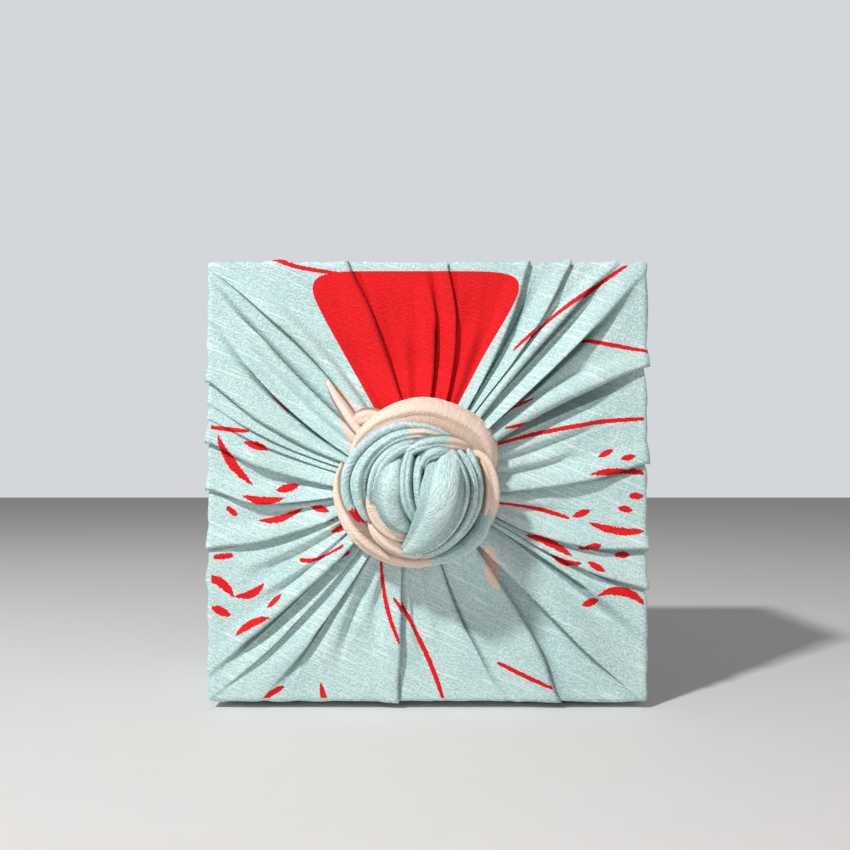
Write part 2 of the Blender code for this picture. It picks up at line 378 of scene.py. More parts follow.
def clothIslands():
    # runs of columns between the hidden turns of the pleats; each is one clear stretch of the cloth
    turns, column = [], 0
    for fold in folds:
        stations = stationsOf(fold)
        if isPleat(fold):
            turns.append(column + stations.index(layout["turned"] * fold["way"]))
        column += len(stations) + layout["between"]
    return [[each % column for each in range(first, last + 1)]
            for first, last in zip(turns, turns[1:] + [turns[0] + column])]


def flatOn(which, across, reach):
    # mm across a flap and out from the middle of the back, to metres on the flat cloth
    return onFlap(which, across * mm, reach * mm)


def onFace(point):
    return Vector(((point.x - middle.x) / mm, (point.z - middle.z) / mm))


def flatPlaces(rows, islands):
    # where each point lies on the flat cloth, island by island: {(row, column, island): (x, y)}
    # An island is unrolled to both sides of the line down its middle column.
    flats = {}
    frontFirst = rows[-layout["frontRows"]]
    for islandNumber, columns in enumerate(islands):
        anchor = len(columns) // 2
        place = frontFirst["places"][columns[anchor]] % 4
        which = int(place)
        seen = ((place % 1) - 0.5) * side
        atBack = (backPlace(place) % 1 - 0.5) * side
        edge = onFront(place, 0)[0]
        inwards = (onFront(place, 1)[0] - edge).normalized()
        sideways = Vector((-inwards.y, inwards.x))
        if sideways.dot(clockwise[which]) < 0:
            sideways = -sideways
        for rowNumber, row in enumerate(rows):
            points = row["points"]
            if row["kind"] == "back":
                for column in columns:
                    flats[rowNumber, column, islandNumber] = tuple(onFace(points[column]) * mm)
                continue
            onWall = row["kind"] == "wall"
            for direction in (1, -1):
                last = points[columns[anchor]]
                across = mix(seen * cloth["gather"], atBack, row["share"]) if onWall else 0.0
                along = 0.0 if onWall else row["lengths"][columns[anchor]]
                across += 0.0 if onWall else (onFace(last) - edge).dot(sideways)
                for column in (columns[anchor:] if direction > 0 else columns[anchor::-1]):
                    step = (points[column] - last).length / mm
                    if onWall:
                        across += direction * step
                        reach = half + (1 - row["share"]) * depth
                        flats[rowNumber, column, islandNumber] = flatOn(which, across, reach)
                    else:
                        forward = (onFace(points[column]) - onFace(last)).dot(inwards)
                        along += forward
                        across += direction * math.sqrt(max(step * step - forward * forward, 0.0))
                        spot = edge + inwards * along + sideways * across
                        shifted = spot.dot(clockwise[which]) + (cloth["gather"] - 1) * seen
                        reach = 2 * half + depth - spot.dot(outward[which])
                        flats[rowNumber, column, islandNumber] = flatOn(which, shifted, reach)
                    last = points[column]
    return flats


# where the undyed cloth shows beside the knot: a wedge under the flap's edge, and a leaf of the layer below,
# in mm across and up from the middle of the front
peach = {
    "wedge": ((-46, 49), (-40, 31), (-36, 10)),
    "leaf": (28.5, -38), "leafHalf": (3.6, 11), "leafTurn": 8,
    "fade": 6.0,
}


def sideOfLine(point, start, end):
    # mm to the right of a line, looking along it
    run = (end - start).normalized()
    return (point - start).dot(Vector((-run.y, run.x)))


def undyedAt(place, point):
    # about 0.5 on the border of an undyed area and more inside it
    which, along = divmod(place % 4, 1)
    along *= side
    spot = onFace(point)
    inside = -99.0
    if which == 3 and along > 150 or which == 0 and along < 0.5:
        corners = [Vector(corner) for corner in peach["wedge"]]
        inside = min(sideOfLine(spot, a, b) for a, b in zip(corners, corners[1:]))
        inside = min(inside, corners[0].y - spot.y)
    elif which == 2 and along < 42:
        away = spot - Vector(peach["leaf"])
        away.rotate(Matrix.Rotation(math.radians(-peach["leafTurn"]), 2))
        wide, long = peach["leafHalf"]
        inside = (1 - Vector((away.x / wide, away.y / long)).length) * wide
    return min(max(0.5 + inside / peach["fade"], -1.0), 2.0)


def newSheet(name, points, faces, uvs, shares):
    # uvs: one for each corner of each face; shares: by name, one for each point
    mesh = bpy.data.meshes.new(name)
    mesh.from_pydata([tuple(point) for point in points], [], faces)
    layer = mesh.uv_layers.new(name="flat")
    for loop, uv in zip(layer.data, uvs):
        loop.uv = uv
    for label, values in shares.items():
        mesh.attributes.new(label, "FLOAT", "POINT").data.foreach_set("value", values)
    sheet = bpy.data.objects.new(name, mesh)
    bpy.context.collection.objects.link(sheet)
    return sheet


def buildWrap():
    rows = wrapRows()
    islands = clothIslands()
    flats = flatPlaces(rows, islands)
    count = len(rows[0]["points"])
    owner = {}
    for number, columns in enumerate(islands):
        for column in columns[:-1]:
            owner[column] = number
    points = [point for row in rows for point in row["points"]] + [inSpace(0, 0, depth)]
    faces, uvs = [], []
    for row in range(len(rows) - 1):
        for column in range(count):
            after = (column + 1) % count
            corners = ((row, column), (row, after), (row + 1, after), (row + 1, column))
            faces.append(tuple(r * count + c for r, c in corners))
            uvs += [flats[r, c, owner[column]] for r, c in corners]
    pole = len(points) - 1
    for column in range(count):
        after = (column + 1) % count
        faces.append((after, column, pole))
        for c in (after, column):
            point = points[c]
            uvs.append((point.x - middle.x, point.z - middle.z))
        uvs.append((0.0, 0.0))
    # painted shade in the pleats' creases, kept as a point attribute and growing in from the front edge
    shares = {"undyed": [0.0] * len(points), "paintedShade": [0.0] * len(points)}
    underFoldShade = paintedShadeColumns()
    for number, row in enumerate(rows):
        if row["kind"] == "front":
            shadeGrows = smooth(0.25 + row["share"] * 2)
            for column, (place, point) in enumerate(zip(row["places"], row["points"])):
                shares["undyed"][number * count + column] = undyedAt(place, point)
                shares["paintedShade"][number * count + column] = underFoldShade[column] * shadeGrows
    sheet = newSheet("wrapSheet", points, faces, uvs, shares)
    for number, face in enumerate(sheet.data.polygons):      # 0 the front's part of the print, 1 the rest
        row = number // count
        face.material_index = 0 if row < len(rows) and rows[row]["kind"] == "front" else 1
    return sheet


def giveThickness(sheet, thickness):
    bpy.ops.object.select_all(action="DESELECT")
    bpy.context.view_layer.objects.active = sheet
    sheet.select_set(True)
    bpy.ops.object.mode_set(mode="EDIT")
    bpy.ops.mesh.select_all(action="SELECT")
    bpy.ops.mesh.normals_make_consistent(inside=False)
    bpy.ops.object.mode_set(mode="OBJECT")
    solid = sheet.modifiers.new("thickness", "SOLIDIFY")
    solid.thickness = thickness * mm
    solid.offset = -1
    bpy.ops.object.modifier_apply(modifier=solid.name)
    bpy.ops.object.shade_smooth()


wrapSheet = buildWrap()
giveThickness(wrapSheet, cloth["thickness"])
print("wrap laid round the box", len(wrapSheet.data.polygons), "faces")


# The wound rose. Each strand is a rolled length of the gathered tips. rows: across and up from its middle (or
# clock angle and reach on a ring), how high it stands off the front, its width and thickness, and how far its
# face tilts outwards from facing forwards. pleats: angle round the strand, depth as a share, width in
# degrees. undyed and red: shares of its length that show those parts of the print.
# shade: how strongly the painted shade down a strand's sides shows
rose = {
    "thickness": 0.25,
    "stepAlong": 1.9,
    "around": 38,
    "inner": 38,             # stations on the rolled-in turns
    "innerTurns": 4.8,
    "innerSizes": (0.8, 0.3),
    "crease": 1.6,
    "shadeBelow": 0.96,      # how far down its sides a strand is unshaded, and over what share its painted shade deepens
    "shadeOver": 0.42,
    "dyeSlant": 0.12,        # how askew a dyed edge lies across a strand
    "uneven": 0.05,          # how far a strand's width varies
    "coreStep": 1.6,
    "coreAround": 72,
    "coreTwist": 0.7,
}
strands = {
    "collarTop": {
        "ring": True, "pleats": ((-28, 0.16, 9), (34, 0.12, 7)), "undyed": (0, 1), "turn": 20, "shade": 0.35,
        "rows": ((82, 30, 11, 7, 6, 55), (68, 33.5, 13, 15, 9, 52), (50, 34.5, 14, 19, 11, 50),
                 (26, 33, 15, 19, 11, 48), (2, 32.5, 16, 18, 10, 46), (-22, 31.5, 16, 15, 9, 48),
                 (-44, 31, 15, 11, 8, 52), (-64, 29, 14, 8, 7, 56), (-84, 26, 12, 5, 4, 60))},
    "collarLow": {
        "ring": True, "pleats": ((-20, 0.2, 8), (30, 0.16, 8), (66, 0.1, 7)), "undyed": (0, 1), "turn": 60,
        "rows": ((56, 27, 18, 5, 5, 42), (72, 30.5, 21, 10, 8, 42), (96, 31.5, 21, 13, 10, 46),
                 (122, 32, 17, 12, 9, 52), (150, 32, 14, 11, 8, 56), (178, 31, 15, 12, 9, 52),
                 (206, 31, 17, 14, 9, 46), (232, 31.5, 18, 13, 9, 44), (256, 33, 16, 10, 7, 50),
                 (274, 34, 13, 6, 5, 58), (288, 34, 9, 3, 3, 60))},
    "sweepOuter": {
        "ring": True, "pleats": ((18, 0.18, 8),), "red": (0.86, 1), "turn": -15, "slim": 0.76,
        "rows": ((64, 25, 20, 4, 4, 40), (38, 24.5, 23, 6, 5, 36), (10, 24.5, 25, 6, 6, 34),
                 (-20, 25.5, 26, 7, 7, 34), (-50, 27, 26, 8, 7, 36), (-76, 28.5, 25, 8, 8, 40),
                 (-98, 28.5, 23, 8, 8, 42), (-118, 27, 21, 7, 6, 44), (-132, 24.5, 17, 4, 4, 45))},
    "sweepBroad": {
        "ring": True, "pleats": ((-30, 0.12, 8), (28, 0.15, 9)), "undyed": (0, 0.3), "red": (0.9, 1),
        "turn": 10, "slim": 0.76,
        "rows": ((56, 22, 25, 6, 5, 28), (32, 22, 28, 8, 6, 26), (6, 21.5, 31, 8, 7, 24),
                 (-24, 21.5, 32, 9, 7, 24), (-54, 22, 32, 10, 8, 24), (-80, 23, 31, 12, 9, 26),
                 (-102, 23, 28, 11, 8, 30), (-122, 23, 25, 8, 7, 34), (-138, 21.5, 20, 4, 4, 40))},
    "sweepInner": {
        "ring": True, "pleats": ((-12, 0.16, 8), (40, 0.1, 7)), "undyed": (0, 0.1), "turn": -30, "slim": 0.76,
        "rows": ((46, 17, 30, 6, 5, 14), (20, 17, 34, 8, 6, 14), (-10, 17, 36, 8, 7, 14),
                 (-38, 16.5, 37, 9, 7, 14), (-64, 16.5, 37, 9, 8, 14), (-90, 17, 35, 8, 8, 18),
                 (-112, 18.5, 31, 7, 6, 24), (-130, 21, 26, 4, 5, 32))},
    "leftPetal": {
        "ring": True, "pleats": ((24, 0.08, 12),), "turn": 40, "shade": 0.6,
        "rows": ((-26, 15, 34, 6, 5, 5), (-50, 11.5, 38, 10, 7, 2), (-84, 10.5, 40, 13, 9, 0),
                 (-118, 12, 38, 13, 9, 4), (-148, 15, 35, 11, 8, 8), (-172, 18, 30, 6, 5, 14))},
    "heartFold": {
        "pleats": ((10, 0.14, 12),), "turn": 70,
        "rows": ((-2, 15, 36, 4, 5, 0), (-3.8, 8, 40, 6, 7, 0), (-4.2, 0, 41.5, 6, 7, 0),
                 (-3, -7, 40, 6, 7, 0), (0, -13, 36, 5, 6, 2), (3, -18, 31, 3, 4, 4))},
    "heartInner": {
        "pleats": ((0, 0.12, 12),), "turn": 35,
        "rows": ((3.5, 14.5, 36, 4, 5, 0), (1.2, 8, 39, 4.5, 6, 0), (0.8, 0, 40, 4.5, 6, 0),
                 (1.5, -8, 38, 4, 6, 0), (3, -15, 34, 3, 4, 2))},
    "bud": {
        "pleats": ((-46, 0.1, 9), (38, 0.12, 10)), "turn": -40, "shade": 0.35,
        "rows": ((15, 14, 34, 7, 6, 0), (13, 9, 39, 14, 9, 0), (11.5, 1.5, 43, 17, 12, 3),
                 (10, -7, 43.5, 17, 12, 5), (6.5, -15, 40, 15, 10, 8), (1.5, -22, 34, 11, 8, 12),
                 (-4, -27, 27, 6, 5, 18))},
    "rightFoldInner": {
        "pleats": ((20, 0.12, 10),), "turn": 15, "slim": 0.82,
        "rows": ((10, 16, 34, 3, 4, 0), (16.5, 11.5, 37, 5, 6, 8), (20, 2.5, 37.5, 5.5, 7, 14),
                 (19.5, -7, 36.5, 5.5, 7, 18), (15.5, -16.5, 33, 5, 6, 20), (8, -24, 29, 5, 6, 22),
                 (-1, -28.5, 24, 3, 4, 24))},
    "rightFoldSecond": {
        "pleats": ((10, 0.12, 10),), "turn": 5, "slim": 0.82,
        "rows": ((12, 19, 30, 3, 4, 10), (19.5, 12.5, 33, 5, 6, 18), (23.5, 2, 33, 5.5, 7, 24),
                 (22.5, -9, 31.5, 5.5, 7, 28), (17.5, -19, 28, 5, 6, 32), (8.5, -26.5, 24, 5, 6, 34),
                 (-2, -30, 20, 3, 4, 36))},
    "rightFoldBroad": {
        "pleats": ((-14, 0.14, 9), (34, 0.1, 8)), "turn": -10, "slim": 0.85,
        "rows": ((14, 20, 26, 5, 5, 24), (21.5, 13.5, 29, 8, 7, 30), (25, 2.5, 28.5, 8.5, 8, 34),
                 (24.5, -8.5, 26.5, 7.5, 7, 36), (19.5, -18.5, 23.5, 6, 6, 38), (11.5, -26, 20.5, 5, 5, 40),
                 (1, -30.5, 17, 4, 4, 42))},
    "lowerStrand": {
        "pleats": ((26, 0.12, 9),), "turn": -60, "slim": 0.85, "shade": 0.5,
        "rows": ((27, -4, 18, 4, 4, 40), (29.5, -12, 21, 8, 7, 44), (26.5, -20.5, 21, 9, 8, 46),
                 (18.5, -27.5, 19, 8, 7, 48), (8, -31.5, 16, 6, 6, 50), (-2, -32, 13, 4, 4, 52))},
    "peachInner": {
        "ring": True, "pleats": ((8, 0.16, 9),), "undyed": (0, 1), "turn": 25,
        "rows": ((-92, 18, 33, 3, 4, 14), (-110, 19.5, 32.5, 6, 5, 16), (-130, 20.5, 31, 8, 6, 18),
                 (-150, 21, 29.5, 8, 7, 20), (-170, 21, 27, 7, 6, 22), (-190, 20.5, 23, 5, 5, 24))},
    "peachOuter": {
        "ring": True, "pleats": ((-24, 0.14, 9), (30, 0.12, 8)), "undyed": (0, 1), "turn": -35,
        "rows": ((-124, 23.5, 24, 4, 4, 30), (-140, 25, 26, 8, 6, 30), (-160, 26, 25, 10, 8, 32),
                 (-178, 27, 22, 10, 8, 36), (-200, 27.5, 18, 7, 6, 42))},
    "topCurl": {
        "pleats": ((0, 0.14, 10),), "undyed": (0.6, 1), "turn": 0,
        "rows": ((-5, 13, 36, 4, 4, 0), (1.5, 17, 39, 6, 6, 0), (9, 18.5, 37, 7, 6, 4),
                 (16.5, 18, 33, 7, 6, 10), (23, 16, 28, 4, 4, 20))},
    "curlHook": {
        "pleats": ((12, 0.12, 10),), "turn": 80,
        "rows": ((3.2, 7, 37, 3, 4, 0), (4.2, 12, 40, 5, 6, 0), (9, 14.5, 39.5, 6, 6, 0),
                 (14, 14.5, 35, 4, 4, 0))},
    "rolledEnd": {
        "pleats": ((-16, 0.1, 10),), "undyed": (0, 1), "turn": 30,
        "rows": ((-40, 47, 3.5, 2.2, 3, 0), (-36.5, 41, 5.5, 4.5, 5, 0), (-32, 34.5, 8, 6, 6, 0),
                 (-27.5, 28, 10.5, 6.5, 6, 0), (-23, 22, 12, 5, 5, 0))},
    "rolledTab": {
        "pleats": ((0, 0.1, 12),), "undyed": (0, 1), "turn": 75,
        "rows": ((-27, 28, 11, 4, 4, 0), (-24, 30.5, 13, 7.5, 5, 0), (-18.5, 31, 13, 7.5, 5, 0),
                 (-12, 29, 11, 5, 4, 0))},
}


def curveThrough(rows, step):
    # evenly stepped points on a smooth curve through these rows, every column carried along
    rows = [tuple(map(float, row)) for row in rows]
    ends = [tuple(2 * a - b for a, b in zip(rows[0], rows[1]))] + rows
    ends.append(tuple(2 * a - b for a, b in zip(rows[-1], rows[-2])))
    fine = []
    for number in range(len(rows) - 1):
        p0, p1, p2, p3 = ends[number:number + 4]
        for part in range(24):
            t = part / 24
            weights = (2 * t ** 2 - t - t ** 3, 2 - 5 * t ** 2 + 3 * t ** 3,
                       t + 4 * t ** 2 - 3 * t ** 3, t ** 3 - t ** 2)
            fine.append(tuple(0.5 * sum(w * v for w, v in zip(weights, four))
                              for four in zip(p0, p1, p2, p3)))
    fine.append(rows[-1])
    runs = [0.0]
    for a, b in zip(fine, fine[1:]):
        runs.append(runs[-1] + math.dist(a[:3], b[:3]))
    count = max(int(runs[-1] / step), 6)
    even, number = [], 0
    for part in range(count + 1):
        target = runs[-1] * part / count
        while number < len(runs) - 2 and runs[number + 1] < target:
            number += 1
        share = (target - runs[number]) / max(runs[number + 1] - runs[number], 1e-9)
        even.append(tuple(mix(a, b, share) for a, b in zip(fine[number], fine[number + 1])))
    return even, runs[-1]


def ringToFlat(row):
    clock = math.radians(row[0])
    return (row[1] * math.sin(clock), row[1] * math.cos(clock)) + tuple(row[2:])


def strandSection(pleats, wide, thick, phase):
    # a rolled section in mm, sideways and outwards, from its turned-under edge round over the face and
    # inwards
    section = []
    total = rose["around"] + rose["inner"]
    for number in range(total + 1):
        if number <= rose["around"]:
            angle, size = mix(-165, 175, number / rose["around"]), 1.0
        else:
            share = (number - rose["around"]) / rose["inner"]
            angle, size = 175 + 360 * rose["innerTurns"] * share, mix(*rose["innerSizes"], share)
        if number <= rose["around"]:
            for at, deep, width in pleats:
                away = (angle - at - 14 * math.sin(phase + at)) / width
                size -= rose["crease"] * deep * math.exp(-away * away)
                size += rose["crease"] * deep * 0.4 * math.exp(-((away - 2.1) / 1.6) ** 2)
        turn = math.radians(angle)
        bulk = 0.86 + 0.14 * math.cos(2 * turn)
        section.append((size * wide / 2 * math.sin(turn), size * bulk * thick / 2 * math.cos(turn)))
    return section


def printBorder(span, share, length):
    # about 0.5 where a colour of the print begins or ends along a strand
    if not span:
        return -1.0
    low, high = (-1 if span[0] == 0 else span[0]), (2 if span[1] == 1 else span[1])
    return min(max(0.5 + min(share - low, high - share) * length / 8, -1.0), 2.0)


def addPoint(made, point, uv, undyed, red, paintedShade):
    for label, value in zip(made, (point, uv, undyed, red, paintedShade)):
        made[label].append(value)


def rolledFaces(first, across, rows):
    return [(here, here + 1, here + 1 - across, here - across)
            for number in range(1, rows)
            for here in range(first + number * across, first + (number + 1) * across - 1)]


def windStrand(spec, made):
    rows = [ringToFlat(row) for row in spec["rows"]] if spec.get("ring") else spec["rows"]
    path, length = curveThrough(rows, rose["stepAlong"])
    across = rose["around"] + rose["inner"] + 1
    first = len(made["points"])
    turn, slim = math.radians(spec["turn"]), spec.get("slim", 1.0)
    slant = 0 if spec.get("undyed") == (0, 1) else rose["dyeSlant"]
    offset = Vector((0.4 + 0.013 * first / 997 % 0.2, 0.3 + 0.017 * first / 613 % 0.2))
    centres = [inSpace(knot.x + row[0], knot.y + row[1], -row[2]) for row in path]
    for number, row in enumerate(path):
        share = number / (len(path) - 1)
        tangent = (centres[min(number + 1, len(path) - 1)] - centres[max(number - 1, 0)]).normalized()
        away = Vector((row[0], 0, row[1]))
        away = away.normalized() if away.length > 0.5 else Vector((0, 0, 1))
        tilt = math.radians(row[5])
        face = Vector((0, -1, 0)) * math.cos(tilt) + away * math.sin(tilt)
        sideways = tangent.cross(face).normalized()
        face = sideways.cross(tangent).normalized()
        arc, last = 0.0, None
        wobble = 1 + rose["uneven"] * noise.noise(Vector((share * 6, len(rows), row[3])))
        wide, thick = row[3] * slim * wobble, row[4] * (1.6 - 0.6 * slim)
        section = strandSection(spec["pleats"], wide, thick, share * 3)
        for station, (x, y) in enumerate(section):
            spot = centres[number] + (sideways * x + face * y) * mm
            spot += face * mm * 0.25 * noise.noise(spot * 220)
            arc += math.dist((x, y), last) if last else 0.0
            last = (x, y)
            flat = Vector((arc * mm, share * length * mm))
            flat.rotate(Matrix.Rotation(turn, 2))
            undyed = printBorder(spec.get("undyed"), share + slant * (station / across - 0.3), length)
            # painted shade down a strand's sides, below its crown, where the strands beside it would shade it
            low = min(y / max(row[4] * 0.43, 0.1), 1.0)
            shaded = smooth((rose["shadeBelow"] - low) / rose["shadeOver"]) * smooth(number / 3)
            addPoint(made, spot, offset + flat, undyed, printBorder(spec.get("red"), share, length),
                     shaded * spec.get("shade", 1.0))
    return rolledFaces(first, across, len(path))


def windCore(made):
    # what lies under the strands: the tips' first turn about the knot
    profile = ((24, 1), (29, 6), (31, 12), (29, 19), (23, 25), (15, 30), (7, 33), (0.5, 34))
    count = rose["coreAround"]
    path, length = curveThrough([(r, h, 0) for r, h in profile], rose["coreStep"])
    for number, (reach, high, _) in enumerate(path):
        for station in range(count + 1):
            angle = 2 * math.pi * station / count - number * 0.09
            twist = rose["coreTwist"] * math.cos(9 * (angle + number * 0.18))
            at = reach + twist * min(reach / 20, 1)
            x, y = knot.x + at * math.sin(angle), knot.y + at * math.cos(angle)
            uv = Vector((0.3 + number * 0.0016, 0.3 + station * 0.0026))
            # the core under the strands is painted in shade throughout
            addPoint(made, inSpace(x, y, -high - twist * 0.5), uv, 0.0, 0.0, 0.8)
    return rolledFaces(0, count + 1, len(path))


def buildRose():
    made = {"points": [], "uvs": [], "undyed": [], "red": [], "paintedShade": []}
    faces = windCore(made)
    for spec in strands.values():
        faces += windStrand(spec, made)
    uvs = [made["uvs"][corner] for face in faces for corner in face]
    shares = {label: made[label] for label in ("undyed", "red", "paintedShade")}
    return newSheet("woundRose", made["points"], faces, uvs, shares)


woundRose = buildRose()
giveThickness(woundRose, rose["thickness"])
print("tips wound into the rose", len(woundRose.data.polygons), "faces")

for piece in (wrapSheet, woundRose):
    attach(piece, "root")
    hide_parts("furoshiki_cloth")

# Materials. Shared effects are node groups, read in metres on the flat cloth.
dyes = {
    "aqua": (0.53, 0.735, 0.72, 1),
    "aquaPale": (0.80, 0.93, 0.91, 1),
    "aquaDeep": (0.27, 0.47, 0.47, 1),
    "red": (0.84, 0.008, 0.012, 1),
    "redDeep": (0.58, 0.003, 0.006, 1),
    "undyed": (0.86, 0.64, 0.51, 1),
    "undyedPale": (0.95, 0.82, 0.72, 1),
}
# a rising sun, then by flap the long thin lines and sprays of leaves: mm across the flap clockwise and out
# from the middle of the back, turn in degrees, length, width, bend as a share of the width
sun = {"across": -6, "reach": 274, "halfWide": 28, "halfReach": 50, "narrow": 1.0, "square": 7.0}
strokeColumns = ("across", "reach", "turn", "long", "wide", "bend")
strokes = {
    "top": ((-62, 222, 12, 38, 2.2, 1), (68, 240, 143, 66, 2.4, 1)),
    "right": ((-33, 287, 74, 18, 2.4, 0), (-64, 237, 97, 40, 2.2, 0), (-27, 254, 82, 76, 2.3, 2),
              (13, 272, 100, 34, 2.4, 1), (-14, 239, 60, 8, 3.3, 0), (-12, 229, 75, 7, 3.1, 0),
              (-5, 233, 92, 27, 4.0, 1), (7, 225, 92, 7, 3.4, 0), (13, 230, 100, 7, 3.4, 0),
              (15, 250, 70, 9, 3.4, 0), (23, 234, 98, 27, 4.3, -1), (31, 246, 74, 10, 3.8, 0),
              (30, 264, 114, 24, 4.8, 1), (40, 257, 104, 14, 4.3, -1), (41, 243, 118, 9, 3.6, 0),
              (35, 231, 90, 7, 3.4, 0), (53, 230, 100, 22, 4.5, 2), (60, 244, 60, 8, 3.6, 0)),
    "bottom": ((19, 266, 78, 40, 2.4, -1), (1, 243, 65, 56, 2.4, 2), (-46, 232, 25, 28, 2.4, 0),
               (49, 222, 78, 14, 3.0, 0), (74, 223, 150, 16, 2.8, 0)),
    "left": ((25, 229, 96, 20, 2.4, 0), (-38, 274, 85, 24, 2.8, 1), (9, 231, 145, 29, 4.6, 1),
             (17, 242, 110, 12, 4.0, 0), (-9, 246, 94, 20, 4.1, 1), (-3, 257, 76, 11, 4.5, 0),
             (-14, 231, 130, 6, 2.9, 0), (-18, 254, 78, 22, 4.3, 1), (-15, 272, 118, 11, 4.1, 0),
             (-23, 281, 70, 10, 4.0, 0), (-36, 227, 84, 9, 2.9, 0), (-48, 226, 124, 18, 4.6, -1),
             (-53, 240, 66, 15, 4.1, 1), (-61, 226, 115, 10, 4.3, 0), (-67, 241, 70, 19, 4.3, -1),
             (-58, 252, 50, 9, 4.6, 0)),
}
# on the sides and the back, where the print goes on round the box
strokesAround = {
    "top": ((20, 165, 100, 84, 2.4, 2), (-34, 52, 38, 92, 2.6, -3), (46, 66, 160, 48, 2.6, 2),
            (60, 30, 110, 26, 4.6, -1), (68, 48, 60, 11, 4.4, 0), (-62, 222, 12, 38, 2.2, 1)),
    "right": ((-30, 160, 78, 90, 2.4, -2), (58, 150, 104, 70, 2.4, 2), (52, 46, 100, 64, 2.6, -2),
              (20, 176, 96, 24, 4.4, 1), (26, 192, 70, 10, 4.0, 0), (-64, 237, 97, 40, 2.2, 0)),
    "left": ((34, 158, 96, 96, 2.4, 2), (-50, 170, 70, 50, 2.4, 1), (12, 170, 84, 20, 4.2, 1),
             (6, 186, 120, 10, 4.2, 0)),
    "bottom": ((-10, 160, 84, 88, 2.4, -2), (30, 48, 20, 96, 2.6, 3), (-62, 24, 60, 26, 4.6, 1),
               (-38, 28, 20, 12, 4.4, 0)),
}


class Nodes:
    # a short hand for wiring: each call adds a node, sets its values and links what it is given
    def __init__(self, tree):
        self.tree = tree

    def add(self, kind, out=0, settings=None, **values):
        node = self.tree.nodes.new(kind)
        for label, value in (settings or {}).items():
            setattr(node, label, value)
        for label, value in values.items():
            self.put(node.inputs[int(label[1:]) if label[0] == "i" and label[1:].isdigit() else label], value)
        return node.outputs[out]

    def put(self, socket, value):
        if isinstance(value, bpy.types.NodeSocket):
            self.tree.links.new(value, socket)
        else:
            socket.default_value = value

    def math(self, operation, *values, clamp=False):
        return self.add("ShaderNodeMath", settings={"operation": operation, "use_clamp": clamp},
                        **{f"i{number}": value for number, value in enumerate(values)})

    def times(self, *values):
        return self.math("MULTIPLY", *values)

    def plus(self, *values):
        return self.math("ADD", *values)

    def less(self, *values, clamp=False):
        return self.math("SUBTRACT", *values, clamp=clamp)

    def attribute(self, name):
        return self.add("ShaderNodeAttribute", out="Fac", settings={"attribute_name": name})

    def split(self, vector):
        node = self.tree.nodes.new("ShaderNodeSeparateXYZ")
        self.put(node.inputs[0], vector)
        return node.outputs

    def blend(self, share, first, second):
        node = self.tree.nodes.new("ShaderNodeMix")
        node.data_type = "RGBA"
        self.put(node.inputs[0], share)
        self.put(node.inputs[6], first)
        self.put(node.inputs[7], second)
        return node.outputs[2]

    def ramp(self, value, low, high):
        node = self.tree.nodes.new("ShaderNodeMapRange")
        node.interpolation_type = "SMOOTHSTEP"
        for socket, given in zip((0, 1, 2), (value, low, high)):
            self.put(node.inputs[socket], given)
        return node.outputs[0]


def newGroup(name, vectors, numbers, gives):
    # the labels of its vectors, its numbers with their values, and the labels of what it puts out
    group = bpy.data.node_groups.new(name, "ShaderNodeTree")
    for label in vectors:
        group.interface.new_socket(label, in_out="INPUT", socket_type="NodeSocketVector")
    for label, value in numbers.items():
        group.interface.new_socket(label, in_out="INPUT", socket_type="NodeSocketFloat").default_value = value
    for label in gives:
        group.interface.new_socket(label, in_out="OUTPUT", socket_type="NodeSocketFloat")
    nodes = Nodes(group)
    given = group.nodes.new("NodeGroupInput").outputs
    made = group.nodes.new("NodeGroupOutput").inputs
    return group, nodes, given, made


def slubWeaveGroup():
    # plain weave with thick and thin yarns; slubs lie along the weft
    group, nodes, given, made = newGroup(
        "slubWeave", ("Flat",), {"Weft Turn": math.radians(-24), "Slub Spacing": 0.0011},
        ("Slub", "Thread", "Speck", "Cloud", "Height"))
    turned = nodes.add("ShaderNodeVectorRotate", settings={"rotation_type": "Z_AXIS"},
                       Vector=given["Flat"], Angle=given["Weft Turn"])
    perMetre = nodes.math("DIVIDE", 1.0, given["Slub Spacing"])

    def streaks(along, across, detail, low, high, shift):
        size = nodes.add("ShaderNodeCombineXYZ", X=nodes.times(perMetre, along),
                         Y=nodes.times(perMetre, across), Z=1.0)
        spread = nodes.add("ShaderNodeVectorMath", settings={"operation": "MULTIPLY"}, i0=turned, i1=size)
        moved = nodes.add("ShaderNodeVectorMath", settings={"operation": "ADD"}, i0=spread,
                          i1=(shift, shift * 3, 0))
        value = nodes.add("ShaderNodeTexNoise", settings={"noise_dimensions": "2D"}, Vector=moved, Scale=1.0,
                          Detail=detail, Roughness=0.55)
        return nodes.ramp(value, low, high)

    longSlub, shortSlub = streaks(0.026, 0.85, 0.0, 0.67, 0.74, 3.7), streaks(0.06, 1.3, 0.0, 0.65, 0.73, 9.1)
    slub = nodes.math("MAXIMUM", longSlub, shortSlub)
    warp = streaks(1.0, 0.05, 0.0, 0.70, 0.80, 5.3)
    grain = streaks(1.1, 1.3, 1.0, 0.38, 0.62, 1.9)
    ends = streaks(0.4, 1.8, 0.0, 0.36, 0.64, 6.1)
    speck = streaks(0.9, 1.6, 1.0, 0.55, 0.66, 2.7)
    thread = nodes.times(nodes.plus(grain, ends), 0.5)
    cloud = nodes.add("ShaderNodeTexNoise", settings={"noise_dimensions": "2D"}, Vector=given["Flat"],
                      Scale=38.0, Detail=3.0, Roughness=0.6)
    height = nodes.plus(nodes.times(thread, 0.5), nodes.times(slub, 0.35))
    height = nodes.plus(height, nodes.times(nodes.math("MAXIMUM", warp, speck), 0.2))
    nodes.put(made["Slub"], nodes.math("MAXIMUM", slub, nodes.times(warp, 0.4)))
    nodes.put(made["Thread"], thread)
    nodes.put(made["Speck"], speck)
    nodes.put(made["Cloud"], cloud)
    nodes.put(made["Height"], height)
    return group


